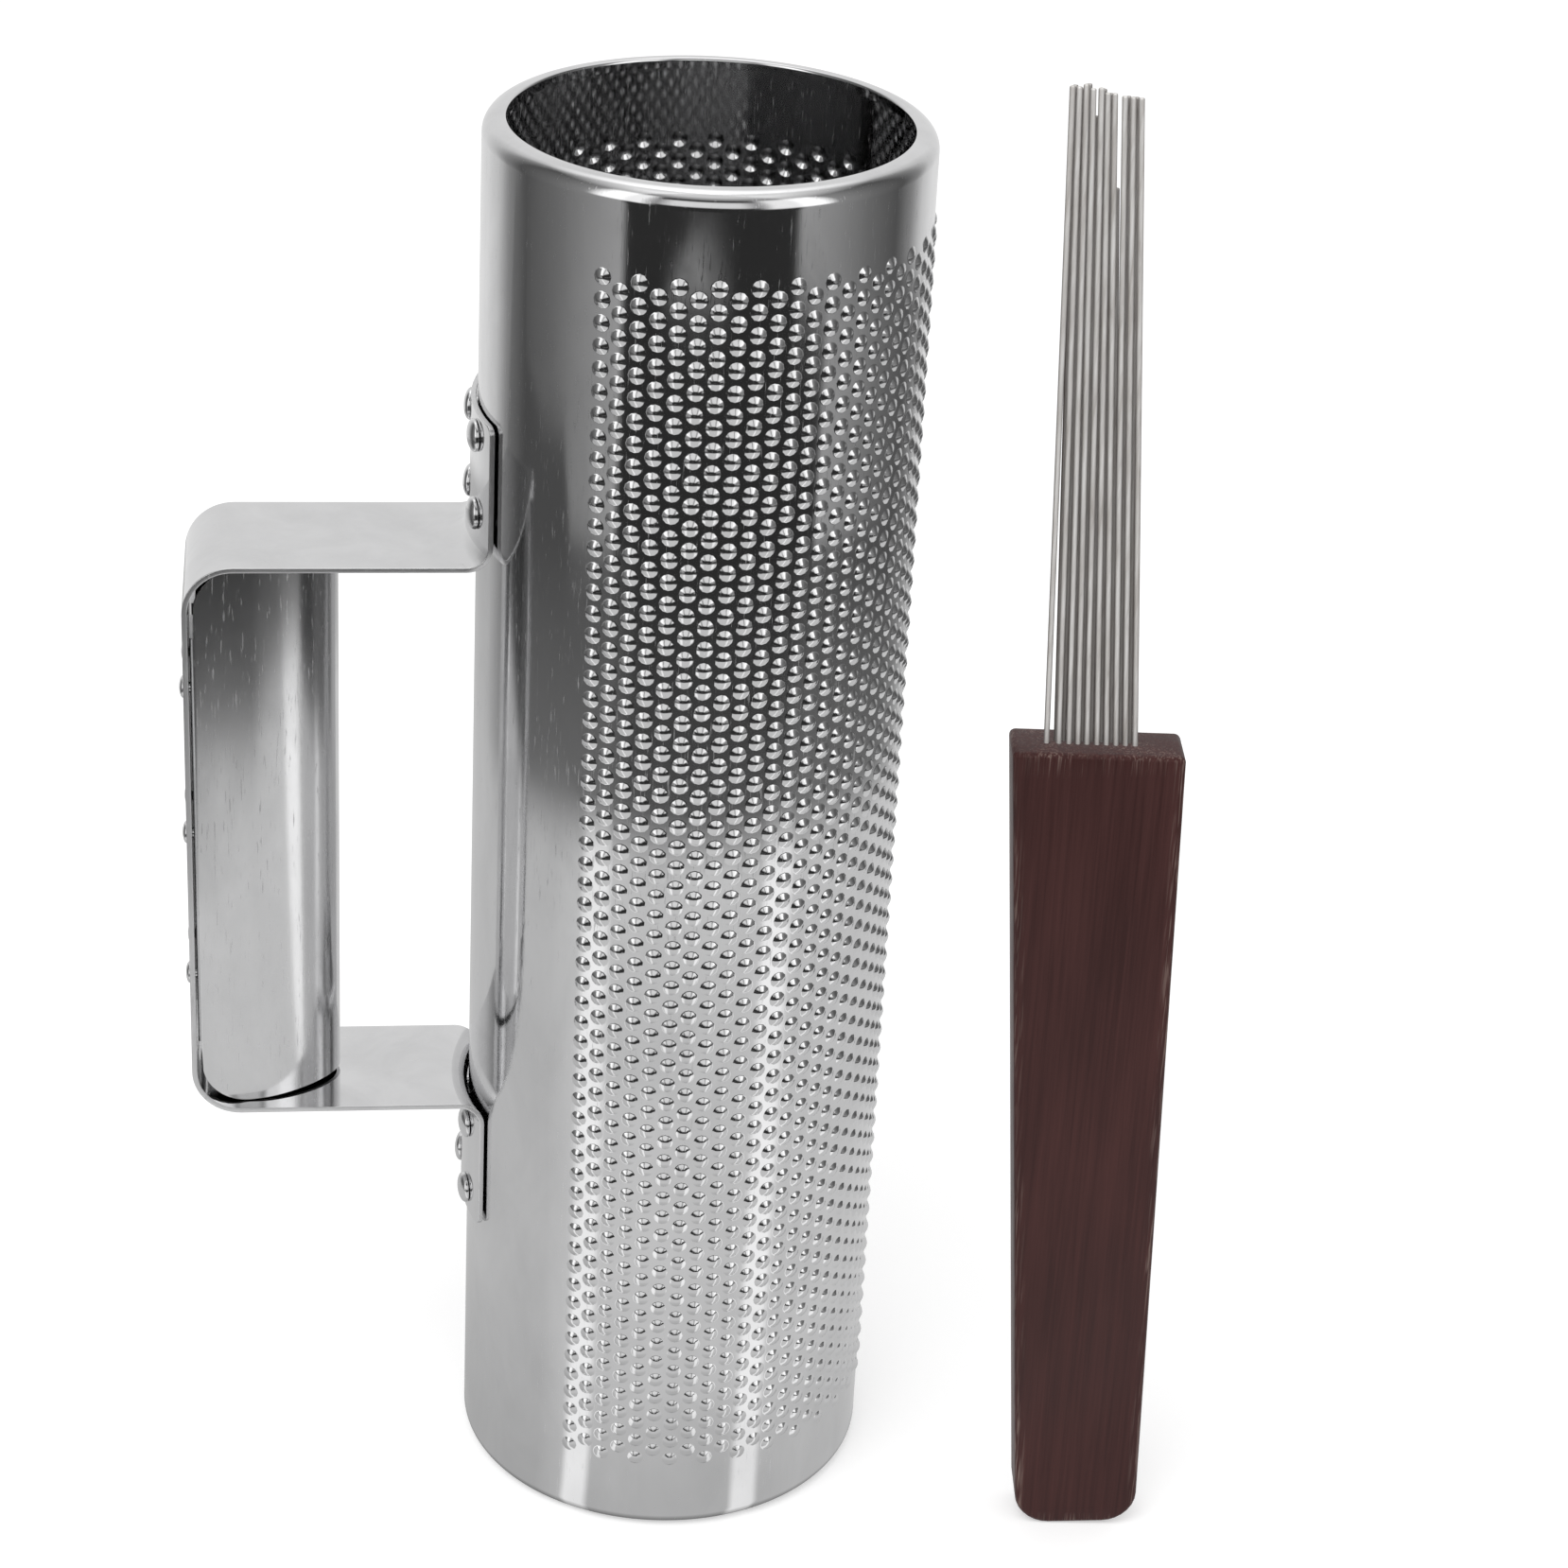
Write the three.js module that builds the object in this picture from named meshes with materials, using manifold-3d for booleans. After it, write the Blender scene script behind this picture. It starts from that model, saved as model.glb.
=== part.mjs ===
import * as THREE from 'three';
import { mergeVertices } from 'three/addons/utils/BufferGeometryUtils.js';
import Module from 'manifold-3d';

// A metal guiro: a rolled tube of thin polished steel, punched from inside so that beads stand out
// of it, with a riveted strap handle, and the wire scraper that plays it standing beside it.
// Millimetres, +Z up. The handle points along -X and the scraper stands at +X.

const manifold = await Module();
manifold.setup();

// The gap between pieces that touch, and how far a cutter runs past what it cuts.
const clearance = 0.3;
const overrun = 4;

const tube = {
  radius: 48,
  length: 330,
  wall: 0.5,
  shoulderRadius: 3.9,
  rimFlat: 0.6,
  curlRadius: 0.7,
  lipDepth: 1.8,
  plainFacets: 12,
  shoulderFacets: 3,
  curlFacets: 1,
};

// The real tube carries 51 columns of 59 or 58 beads. The solid keeps each column, and every second
// bead in it, so that a bead stands midway between those of the columns beside it.
const beads = {
  halfAngle: THREE.MathUtils.degToRad(121.6),
  firstHeight: 20,
  lastHeight: 310,
  raise: 1.2,
  columnCount: 51,
  rowCount: 59,
  plainRowCount: 1,
};

const strap = {
  width: 36,
  thickness: 1.2,
  reach: 111.6,
  lowArmHeight: 98.6,
  highArmHeight: 235.2,
  outerBendRadius: 11,
  footBendRadius: 4.5,
  footLength: 32.3,
  footCurveRadius: 51,
  cornerRadius: 2,
  cornerSteps: 1,
  crossSteps: 6,
  bendSteps: 5,
};

const grip = {
  thickness: 0.8,
  depth: 32.1,
  cheekDepth: 13.1,
  noseHalfWidth: 14.4,
  backHalfWidth: 15.7,
  noseBluntShare: 0.45,
  cheekReachShare: 0.63,
  cheekWidthShare: 0.96,
  bendRadius: 1,
  slot: 6,
  flangeHeight: 101,
  cornerRadius: 10.5,
  endRise: 1.2,
  noseSteps: 7,
  bendSteps: 1,
  cornerSteps: 5,
};

const footRivet = {
  headRadius: 3.6,
  headHeight: 1.9,
  rimHeight: 0.4,
  shankRadius: 1.9,
  tailRadius: 3,
  tailHeight: 0.9,
  spacing: 18,
  fromArm: 9.1,
};

const webRivet = {
  headRadius: 2.5,
  headHeight: 1.1,
  rimHeight: 0.25,
  shankRadius: 1.3,
  tailRadius: 2,
  tailHeight: 0.7,
  spacing: 18,
  pitch: 36,
};

const rivetSides = 8;
const rivetDomeSteps = 2;

const wood = {
  length: 205.5,
  topWidth: 37.5,
  buttWidth: 28.6,
  thickness: 13,
  topSlant: 2.1,
  topCornerRadius: 0.3,
  buttCornerRadius: 8,
  edgeRadius: 1.2,
  edgeSteps: 3,
  cornerSteps: 5,
};

const tine = {
  radius: 0.62,
  reach: 147.2,
  rootSpan: 19.2,
  tipSpan: 13.9,
  rootShift: -11.2,
  tipShift: -9.35,
  tipDrop: 3,
  rowGap: 1.5,
  socketDepth: 25,
  sides: 8,
};

// Places across the bundle where the wires leave the wood and at their tips, and how far each tip
// is below the tallest: the front row of ten, then the nine behind it, two of them cut short.
const frontRootShares = [0, 0.138, 0.252, 0.353, 0.455, 0.569, 0.675, 0.782, 0.889, 1];
const frontTipShares = [0, 0.1, 0.2, 0.3, 0.415, 0.513, 0.611, 0.757, 0.879, 1];
const frontDropShares = [0.1, 0.16, 0, 0.3, 0.27, 0.62, 0.66, 0.85, 0.93, 1];
const backRootShares = [0.12, 0.195, 0.3025, 0.404, 0.512, 0.622, 0.735, 0.8355, 0.9445];
const backTipShares = [0.05, 0.15, 0.25, 0.357, 0.464, 0.562, 0.69, 0.818, 0.9395];
const backDropShares = [0.2, 0.42, 0.12, 2.35, 0.5, 0.8, 7.4, 1.02, 1.1];

const scraperPlace = {
  x: 96.2,
  y: -45,
  yaw: THREE.MathUtils.degToRad(-5),
  lean: THREE.MathUtils.degToRad(-3.2),
};

const steel = { color: 0xd4d5d6, roughness: 0.12, metalness: 1 };
const wire = { color: 0x9b9893, roughness: 0.38, metalness: 1 };
const stainedWood = { color: 0x482a28, roughness: 0.45, metalness: 0 };

function namedMesh(name, geometry, look) {
  const mesh = new THREE.Mesh(geometry, new THREE.MeshStandardMaterial(look));
  mesh.name = name;
  return mesh;
}

function toSolid(geometry) {
  const bare = geometry.clone();
  bare.deleteAttribute('normal');
  bare.deleteAttribute('uv');
  const merged = mergeVertices(bare);
  return new manifold.Manifold(new manifold.Mesh({
    numProp: 3,
    vertProperties: new Float32Array(merged.attributes.position.array),
    triVerts: new Uint32Array(merged.index.array),
  }));
}

function toGeometry(solid) {
  const cut = solid.getMesh();
  const geometry = new THREE.BufferGeometry();
  geometry.setAttribute('position', new THREE.BufferAttribute(cut.vertProperties, 3));
  geometry.setIndex(new THREE.BufferAttribute(cut.triVerts, 1));
  geometry.computeVertexNormals();
  return geometry;
}

function cutAll(geometry, cutters) {
  const cut = cutters.reduce((solid, cutter) => solid.subtract(toSolid(cutter)), toSolid(geometry));
  return toGeometry(cut);
}

function indexed(points, faces) {
  const geometry = new THREE.BufferGeometry();
  const numbers = points.flatMap((p) => [p.x, p.y, p.z]);
  geometry.setAttribute('position', new THREE.Float32BufferAttribute(numbers, 3));
  geometry.setIndex(faces.flat());
  geometry.computeVertexNormals();
  return geometry;
}

// Points round part of a circle, between two angles that are given in quarter turns.
function arc(centreX, centreY, radius, fromQuarter, toQuarter, steps) {
  return Array.from({ length: steps + 1 }, (_, i) => {
    const angle = (fromQuarter + ((toQuarter - fromQuarter) * i) / steps) * (Math.PI / 2);
    return new THREE.Vector2(centreX + radius * Math.cos(angle), centreY + radius * Math.sin(angle));
  });
}

// The section of the tube's upper half: up the outer skin, over the rolled rim, round the lip that
// hangs inside, and back to the inner skin. x is the radius and y the height.
function upperRimSection() {
  const { radius, length, wall, shoulderRadius, rimFlat, curlRadius, lipDepth } = tube;
  const shoulderX = radius - shoulderRadius;
  const shoulderY = length - shoulderRadius;
  const curlX = shoulderX - rimFlat;
  const curlY = length - curlRadius;
  const lipY = curlY - lipDepth;
  return [
    ...arc(shoulderX, shoulderY, shoulderRadius, 0, 1, tube.shoulderFacets),
    ...arc(curlX, curlY, curlRadius, 1, 2, tube.curlFacets),
    new THREE.Vector2(curlX - curlRadius, lipY),
    new THREE.Vector2(curlX - curlRadius + wall, lipY),
    ...arc(curlX, curlY, curlRadius - wall, 2, 1, tube.curlFacets),
    ...arc(shoulderX, shoulderY, shoulderRadius - wall, 1, 0, tube.shoulderFacets),
  ];
}

// One upright line of the tube's surface, as stations round its section. A line through the beads
// has one station more for each row, with plain rows before and after, and every other one of the
// rows between stands out as a bead's top. A station's place along the section is its at value.
function tubeColumn(angle, rowPeak) {
  const upper = upperRimSection();
  const lower = upper.map((p) => new THREE.Vector2(p.x, tube.length - p.y)).reverse();
  const stations = [...lower, ...upper].map((p, i) => ({ at: i, radius: p.x, height: p.y, peak: false }));
  if (rowPeak) {
    const rowStep = (beads.lastHeight - beads.firstHeight) / (beads.rowCount - 1);
    const rowCount = beads.rowCount + 2 * beads.plainRowCount;
    const rows = Array.from({ length: rowCount }, (_, i) => {
      const row = i - beads.plainRowCount;
      const peak = rowPeak(row);
      return {
        at: lower.length - 1 + (i + 1) / (rowCount + 1),
        radius: tube.radius + (peak ? beads.raise : 0),
        height: beads.firstHeight + rowStep * row,
        peak,
      };
    });
    stations.splice(lower.length, 0, ...rows);
  }
  return stations.map(({ at, peak, radius, height }) => ({
    at,
    peak,
    point: new THREE.Vector3(radius * Math.cos(angle), radius * Math.sin(angle), height),
  }));
}

// The lines right round the tube: one at each edge of the beads, those through the beads, and those
// of the plain wall behind the handle.
function tubeColumns() {
  const columnStep = (2 * beads.halfAngle) / (beads.columnCount - 1);
  const edge = beads.halfAngle + columnStep / 2;
  const isInside = (row) => row >= 0 && row < beads.rowCount;
  const beadColumns = Array.from({ length: beads.columnCount }, (_, i) => tubeColumn(
    -beads.halfAngle + columnStep * i,
    (row) => isInside(row) && (i + row) % 2 === 0,
  ));
  const plainStep = (2 * Math.PI - 2 * edge) / tube.plainFacets;
  const plainColumns = Array.from(
    { length: tube.plainFacets - 1 },
    (_, i) => tubeColumn(edge + plainStep * (i + 1), null),
  );
  const firstEdge = tubeColumn(-edge, () => false);
  const lastEdge = tubeColumn(edge, () => false);
  return [firstEdge, ...beadColumns, lastEdge, ...plainColumns];
}

// Joins two neighbouring columns with triangles. Where both have a next station at the same place,
// the edge between them runs from valley to valley, so that each bead is a four-sided point.
function joinColumns(left, right, leftStart, rightStart) {
  const faces = [];
  const id = (start, column, i) => start + (i % column.length);
  const at = (column, i) => (i < column.length ? column[i].at : Infinity);
  let a = 0;
  let b = 0;
  while (a < left.length || b < right.length) {
    const nextLeft = at(left, a + 1);
    const nextRight = at(right, b + 1);
    const leftFirst = nextLeft === nextRight
      ? a < left.length && (b >= right.length || left[a].peak || !right[b].peak)
      : nextLeft < nextRight;
    if (leftFirst) {
      faces.push([id(leftStart, left, a), id(rightStart, right, b), id(leftStart, left, a + 1)]);
      a += 1;
    } else {
      faces.push([id(leftStart, left, a), id(rightStart, right, b), id(rightStart, right, b + 1)]);
      b += 1;
    }
  }
  return faces;
}

function tubeGeometry() {
  const columns = tubeColumns();
  const starts = [];
  columns.reduce((start, column) => {
    starts.push(start);
    return start + column.length;
  }, 0);
  const faces = columns.flatMap((column, i) => {
    const next = (i + 1) % columns.length;
    return joinColumns(column, columns[next], starts[i], starts[next]);
  });
  return indexed(columns.flat().map((s) => s.point), faces);
}

function handleMiddle() {
  return (strap.lowArmHeight + strap.highArmHeight) / 2;
}

// How far a foot's inner face has curved away towards the tube, at a distance across it.
function footCurve(across) {
  return strap.footCurveRadius - Math.sqrt(strap.footCurveRadius ** 2 - across ** 2);
}

// The strap's side view, x away from the tube and y up. A point that follows the foot moves in with
// the foot's curve towards the strap's long edges.
function strapSection() {
  const { thickness, reach, highArmHeight, outerBendRadius, footBendRadius, bendSteps } = strap;
  const footX = tube.radius + clearance + thickness;
  const footBendX = footX + footBendRadius;
  const footBendY = highArmHeight + footBendRadius;
  const webBendX = reach - outerBendRadius;
  const webBendY = highArmHeight - outerBendRadius;
  const middle = handleMiddle();
  const side = (inset) => {
    const footArc = arc(footBendX, footBendY, footBendRadius + inset, 2, 3, bendSteps);
    const webArc = arc(webBendX, webBendY, outerBendRadius - inset, 1, 0, bendSteps);
    const foot = [new THREE.Vector2(footX - inset, highArmHeight + strap.footLength), ...footArc];
    const high = [
      ...foot.map((p) => ({ x: p.x, y: p.y, follows: true })),
      ...webArc.map((p) => ({ x: p.x, y: p.y, follows: false })),
    ];
    const low = high.map((p) => ({ ...p, y: 2 * middle - p.y })).reverse();
    return [...high, ...low];
  };
  return [...side(0), ...side(thickness).reverse()];
}

// The bent band before its corners and holes are cut: its side view, carried across its width.
function strapBlank() {
  const section = strapSection();
  const steps = strap.crossSteps;
  const points = [];
  for (let i = 0; i <= steps; i += 1) {
    const across = strap.width * (i / steps - 0.5);
    const curve = footCurve(across);
    section.forEach((p) => points.push(new THREE.Vector3(p.follows ? p.x - curve : p.x, across, p.y)));
  }
  const count = section.length;
  const faces = [];
  for (let i = 0; i < steps; i += 1) {
    for (let j = 0; j < count; j += 1) {
      const k = (j + 1) % count;
      const [a, b, c, d] = [i * count + j, i * count + k, (i + 1) * count + k, (i + 1) * count + j];
      faces.push([a, b, c], [a, c, d]);
    }
  }
  const cap = THREE.ShapeUtils.triangulateShape(section.map((p) => new THREE.Vector2(p.x, p.y)), []);
  const last = steps * count;
  cap.forEach(([a, b, c]) => faces.push([a, b, c], [last + a, last + c, last + b]));
  return indexed(points, faces);
}

function roundedOutline(width, height, radius, steps) {
  const x = width / 2 - radius;
  const y = height / 2 - radius;
  return [
    ...arc(x, y, radius, 0, 1, steps),
    ...arc(-x, y, radius, 1, 2, steps),
    ...arc(-x, -y, radius, 2, 3, steps),
    ...arc(x, -y, radius, 3, 4, steps),
  ];
}

function extruded(points, depth) {
  return new THREE.ExtrudeGeometry(new THREE.Shape(points), { depth, bevelEnabled: false });
}

// A rivet along +Z: the domed head stands up from z = 0, and the shank hangs down to the tail.
function rivetGeometry(rivet, shankLength) {
  const { headRadius, headHeight, rimHeight, shankRadius, tailRadius, tailHeight } = rivet;
  const unitDome = arc(0, 0, 1, 1, 0, rivetDomeSteps);
  const dome = unitDome.slice(1).map((p) => new THREE.Vector2(
    p.x * headRadius,
    rimHeight + p.y * (headHeight - rimHeight),
  ));
  const profile = [
    new THREE.Vector2(0, headHeight),
    ...dome,
    new THREE.Vector2(headRadius, 0),
    new THREE.Vector2(shankRadius, 0),
    new THREE.Vector2(shankRadius, -shankLength),
    new THREE.Vector2(tailRadius, -shankLength),
    new THREE.Vector2(tailRadius, -shankLength - tailHeight / 2),
    new THREE.Vector2(shankRadius, -shankLength - tailHeight),
    new THREE.Vector2(0, -shankLength - tailHeight),
  ].reverse();
  return new THREE.LatheGeometry(profile, rivetSides).rotateX(Math.PI / 2);
}

function rivetHole(rivet) {
  const radius = rivet.shankRadius + clearance;
  const length = 2 * (strap.thickness + tube.wall + overrun);
  return new THREE.CylinderGeometry(radius, radius, length, rivetSides).rotateX(Math.PI / 2);
}

// Where each rivet's head sits, in the handle's own axes, and which way it points.
function footRivetPlaces() {
  const footX = tube.radius + clearance + strap.thickness;
  const curveX = footX - strap.footCurveRadius;
  const tilt = Math.asin(footRivet.spacing / 2 / strap.footCurveRadius);
  const reach = strap.footCurveRadius + clearance;
  const upperFirst = strap.highArmHeight + footRivet.fromArm;
  const lowerFirst = strap.lowArmHeight - footRivet.fromArm;
  const heights = {
    upper: [upperFirst, upperFirst + footRivet.spacing],
    lower: [lowerFirst - footRivet.spacing, lowerFirst],
  };
  return Object.entries(heights).flatMap(([foot, levels]) => levels.flatMap((height, level) => (
    [-1, 1].map((side) => ({
      name: `${foot}_foot_rivet_${level * 2 + (side > 0 ? 2 : 1)}`,
      position: new THREE.Vector3(curveX + reach * Math.cos(tilt), side * reach * Math.sin(tilt), height),
      turn: side * tilt,
    }))
  )));
}

function webRivetPlaces() {
  return [-1, 0, 1].flatMap((level, i) => [-1, 1].map((side) => ({
    name: `grip_rivet_${i * 2 + (side > 0 ? 2 : 1)}`,
    position: new THREE.Vector3(
      strap.reach + clearance,
      (side * webRivet.spacing) / 2,
      handleMiddle() + level * webRivet.pitch,
    ),
    turn: 0,
  })));
}

// Turns a piece made along +Z to point along a rivet's own direction at its place.
function settle(geometry, place) {
  return geometry
    .rotateY(Math.PI / 2)
    .rotateZ(place.turn)
    .translate(place.position.x, place.position.y, place.position.z);
}

function strapGeometry() {
  const height = strap.highArmHeight - strap.lowArmHeight + 2 * strap.footLength;
  const trim = extruded(
    roundedOutline(height, strap.width, strap.cornerRadius, strap.cornerSteps),
    strap.reach + overrun,
  ).rotateY(-Math.PI / 2).translate(strap.reach + overrun, 0, handleMiddle());
  const blank = toSolid(strapBlank()).intersect(toSolid(trim));
  const holes = [
    ...footRivetPlaces().map((place) => settle(rivetHole(footRivet), place)),
    ...webRivetPlaces().map((place) => settle(rivetHole(webRivet), place)),
  ];
  return cutAll(toGeometry(blank), holes);
}

// Where the grip's flanges lie against the inside of the strap's web.
function gripBack() {
  return strap.reach - strap.thickness - clearance;
}

// The grip's section seen from above, x away from the tube and y across: a channel with a rounded
// nose towards the fingers and two flanges turned in along the strap.
function gripSection() {
  const { thickness, noseHalfWidth, backHalfWidth, bendRadius, slot } = grip;
  const backX = gripBack();
  const noseX = backX - grip.depth;
  const noseStart = backX - grip.cheekDepth;
  const bendX = backX - bendRadius;
  const bendY = backHalfWidth - bendRadius;
  const cheekX = THREE.MathUtils.lerp(noseX, noseStart, grip.cheekReachShare);
  const half = (inset) => {
    const nose = new THREE.CubicBezierCurve(
      new THREE.Vector2(noseX + inset, 0),
      new THREE.Vector2(noseX + inset, noseHalfWidth * grip.noseBluntShare),
      new THREE.Vector2(cheekX, noseHalfWidth * grip.cheekWidthShare - inset),
      new THREE.Vector2(noseStart, noseHalfWidth - inset),
    ).getPoints(grip.noseSteps);
    return [
      ...nose.slice(1),
      ...arc(bendX, bendY, bendRadius - inset, 1, 0, grip.bendSteps),
      new THREE.Vector2(backX - inset, slot / 2),
    ];
  };
  const whole = (inset) => {
    const front = half(inset);
    const back = front.map((p) => new THREE.Vector2(p.x, -p.y)).reverse();
    return [...back, new THREE.Vector2(noseX + inset, 0), ...front];
  };
  return [...whole(0), ...whole(thickness).reverse()];
}

// The grip's side view, x away from the tube and y up: square ends that rise a little towards the
// nose, round corners at the strap, and a shorter tab for the flanges.
function gripOutline() {
  const high = strap.highArmHeight - strap.thickness - clearance;
  const middle = handleMiddle();
  const edgeX = gripBack() - grip.thickness;
  const cornerX = edgeX - grip.cornerRadius;
  const cornerY = high - grip.cornerRadius;
  const upper = [
    new THREE.Vector2(edgeX + overrun, middle + grip.flangeHeight / 2),
    new THREE.Vector2(edgeX, middle + grip.flangeHeight / 2),
    ...arc(cornerX, cornerY, grip.cornerRadius, 0, 1, grip.cornerSteps),
    new THREE.Vector2(gripBack() - grip.depth - overrun, high - grip.endRise),
  ];
  const lower = upper.map((p) => new THREE.Vector2(p.x, 2 * middle - p.y)).reverse();
  return [...upper, ...lower];
}

function gripGeometry() {
  const height = strap.highArmHeight - strap.lowArmHeight;
  const channel = extruded(gripSection(), height).translate(0, 0, strap.lowArmHeight);
  const side = extruded(gripOutline(), strap.width)
    .rotateX(Math.PI / 2)
    .translate(0, strap.width / 2, 0);
  const cut = toSolid(channel).intersect(toSolid(side));
  const holes = webRivetPlaces().map((place) => settle(rivetHole(webRivet), place));
  return cutAll(toGeometry(cut), holes);
}

// A shank passes three gaps: under the head, between the sheets and over the tail. A foot curves
// less than the tube, so its rivets also reach across the space between the two curves.
function footRivetShank() {
  const across = footRivet.spacing / 2;
  const tubeCurve = tube.radius - Math.sqrt(tube.radius ** 2 - (across + footRivet.tailRadius) ** 2);
  return 3 * clearance + strap.thickness + tube.wall + tubeCurve - footCurve(across);
}

function webRivetShank() {
  return 3 * clearance + strap.thickness + grip.thickness;
}

function handle() {
  const group = new THREE.Group();
  group.rotation.z = Math.PI;
  group.add(namedMesh('handle_strap', strapGeometry(), steel));
  group.add(namedMesh('grip_shell', gripGeometry(), steel));
  footRivetPlaces().forEach((place) => {
    const rivet = settle(rivetGeometry(footRivet, footRivetShank()), place);
    group.add(namedMesh(place.name, rivet, steel));
  });
  webRivetPlaces().forEach((place) => {
    const rivet = settle(rivetGeometry(webRivet, webRivetShank()), place);
    group.add(namedMesh(place.name, rivet, steel));
  });
  return group;
}

// The tube with the holes of the feet's rivets, which are placed on the handle's side.
function drilledTube() {
  const holes = footRivetPlaces().map((place) => settle(rivetHole(footRivet), place).rotateZ(Math.PI));
  return cutAll(tubeGeometry(), holes);
}

// Each wire's middle where it leaves the wood and at its tip, in the scraper's own axes.
function tinePlaces() {
  const row = (roots, tips, drops, across) => roots.map((root, i) => ({
    leaves: new THREE.Vector3(tine.rootShift + root * tine.rootSpan, across, wood.length),
    tip: new THREE.Vector3(
      tine.tipShift + tips[i] * tine.tipSpan,
      across,
      wood.length + tine.reach - drops[i] * tine.tipDrop,
    ),
  }));
  return [
    ...row(frontRootShares, frontTipShares, frontDropShares, -tine.rowGap / 2),
    ...row(backRootShares, backTipShares, backDropShares, tine.rowGap / 2),
  ];
}

function tineGeometry({ leaves, tip }) {
  const along = tip.clone().sub(leaves).normalize();
  const start = leaves.clone().addScaledVector(along, -tine.socketDepth);
  const length = start.distanceTo(tip);
  const middle = start.clone().lerp(tip, 0.5);
  const turn = new THREE.Quaternion().setFromUnitVectors(new THREE.Vector3(0, 1, 0), along);
  return new THREE.CylinderGeometry(tine.radius, tine.radius, length, tine.sides)
    .applyQuaternion(turn)
    .translate(middle.x, middle.y, middle.z);
}

// The wood's front view inside its rounded edges, which the extrusion's bevel then adds. The top is
// cut a little aslant.
function woodOutline() {
  const inset = wood.edgeRadius;
  const topX = wood.topWidth / 2 - inset;
  const buttX = wood.buttWidth / 2 - inset;
  const topY = wood.length - inset;
  const butt = wood.buttCornerRadius - inset;
  const top = wood.topCornerRadius;
  const slant = wood.topSlant / 2;
  const shape = new THREE.Shape();
  shape.moveTo(-buttX + butt, inset);
  shape.lineTo(buttX - butt, inset);
  shape.quadraticCurveTo(buttX, inset, buttX, inset + butt);
  shape.lineTo(topX, topY - slant - top);
  shape.quadraticCurveTo(topX, topY - slant, topX - top, topY - slant);
  shape.lineTo(-topX + top, topY + slant);
  shape.quadraticCurveTo(-topX, topY + slant, -topX, topY + slant - top);
  shape.lineTo(-buttX, inset + butt);
  shape.quadraticCurveTo(-buttX, inset, -buttX + butt, inset);
  return shape;
}

// The slot in the wood's top that the wires stand in. They spread towards their buried ends, so it
// is wider than their span at the wood's face, and it sits to the side that they lean to.
function socketGeometry() {
  const depth = tine.socketDepth + clearance;
  const spread = ((tine.rootSpan - tine.tipSpan) * tine.socketDepth) / tine.reach;
  const lean = ((tine.tipShift - tine.rootShift) * tine.socketDepth) / tine.reach;
  const room = 2 * (tine.radius + clearance);
  return new THREE.BoxGeometry(
    tine.rootSpan + spread + room,
    tine.rowGap + room,
    depth + overrun,
  ).translate(
    tine.rootShift + (tine.rootSpan - lean) / 2,
    0,
    wood.length + (overrun - depth) / 2,
  );
}

function woodGeometry() {
  const body = new THREE.ExtrudeGeometry(woodOutline(), {
    depth: wood.thickness - 2 * wood.edgeRadius,
    bevelSize: wood.edgeRadius,
    bevelThickness: wood.edgeRadius,
    bevelSegments: wood.edgeSteps,
    curveSegments: wood.cornerSteps,
  });
  body.translate(0, 0, -(wood.thickness / 2 - wood.edgeRadius)).rotateX(Math.PI / 2);
  return cutAll(body, [socketGeometry()]);
}

// The scraper stands on the lowest point of its butt, so it is lowered once it leans.
function scraper() {
  const group = new THREE.Group();
  group.add(namedMesh('scraper_handle', woodGeometry(), stainedWood));
  tinePlaces().forEach((place, i) => {
    const number = String(i + 1).padStart(2, '0');
    group.add(namedMesh(`scraper_tine_${number}`, tineGeometry(place), wire));
  });
  group.rotation.set(0, scraperPlace.lean, scraperPlace.yaw, 'ZYX');
  group.position.set(scraperPlace.x, scraperPlace.y, 0);
  group.updateMatrixWorld(true);
  group.position.z = -new THREE.Box3().setFromObject(group, true).min.z;
  return group;
}

// The whole set, with the middle of its box over the origin and its lowest point at z = 0.
const guiro = new THREE.Group();
guiro.add(namedMesh('tube_body', drilledTube(), steel));
guiro.add(handle());
guiro.add(scraper());
guiro.updateMatrixWorld(true);
const box = new THREE.Box3().setFromObject(guiro, true);
const middle = box.getCenter(new THREE.Vector3());
guiro.position.set(-middle.x, -middle.y, -box.min.z);

export default guiro;
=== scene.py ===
import math

import bmesh
import bpy
from mathutils import Matrix, Vector


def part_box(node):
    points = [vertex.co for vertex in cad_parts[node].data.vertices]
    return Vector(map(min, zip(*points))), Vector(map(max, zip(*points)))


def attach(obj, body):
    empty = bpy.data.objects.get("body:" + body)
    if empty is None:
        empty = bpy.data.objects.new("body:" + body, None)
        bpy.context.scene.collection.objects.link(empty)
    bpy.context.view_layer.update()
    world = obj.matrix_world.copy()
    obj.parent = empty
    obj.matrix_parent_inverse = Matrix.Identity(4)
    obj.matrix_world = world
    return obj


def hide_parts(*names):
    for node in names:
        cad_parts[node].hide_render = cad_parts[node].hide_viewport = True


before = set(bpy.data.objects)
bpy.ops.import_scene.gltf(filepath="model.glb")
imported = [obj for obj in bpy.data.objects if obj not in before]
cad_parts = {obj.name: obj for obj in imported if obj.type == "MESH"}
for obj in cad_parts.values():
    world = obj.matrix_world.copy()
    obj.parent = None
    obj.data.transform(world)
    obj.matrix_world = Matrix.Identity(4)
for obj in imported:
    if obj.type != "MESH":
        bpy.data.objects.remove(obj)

# Lengths are in millimetres and angles in degrees, unless a line says otherwise.
mm = 0.001
scene = bpy.context.scene
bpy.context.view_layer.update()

tube = {"radius": 48, "height": 330, "wall": 0.5,
        "shoulder": 3.9, "rimFlat": 0.6, "curl": 0.7, "lip": 1.55, "lipEdge": 0.25,
        "columns": 74, "seamAngle": 138.4,
        "notchDepth": 1.3, "notchInside": 4.3, "notchBelow": 2, "notchHalf": 0.26}
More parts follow.
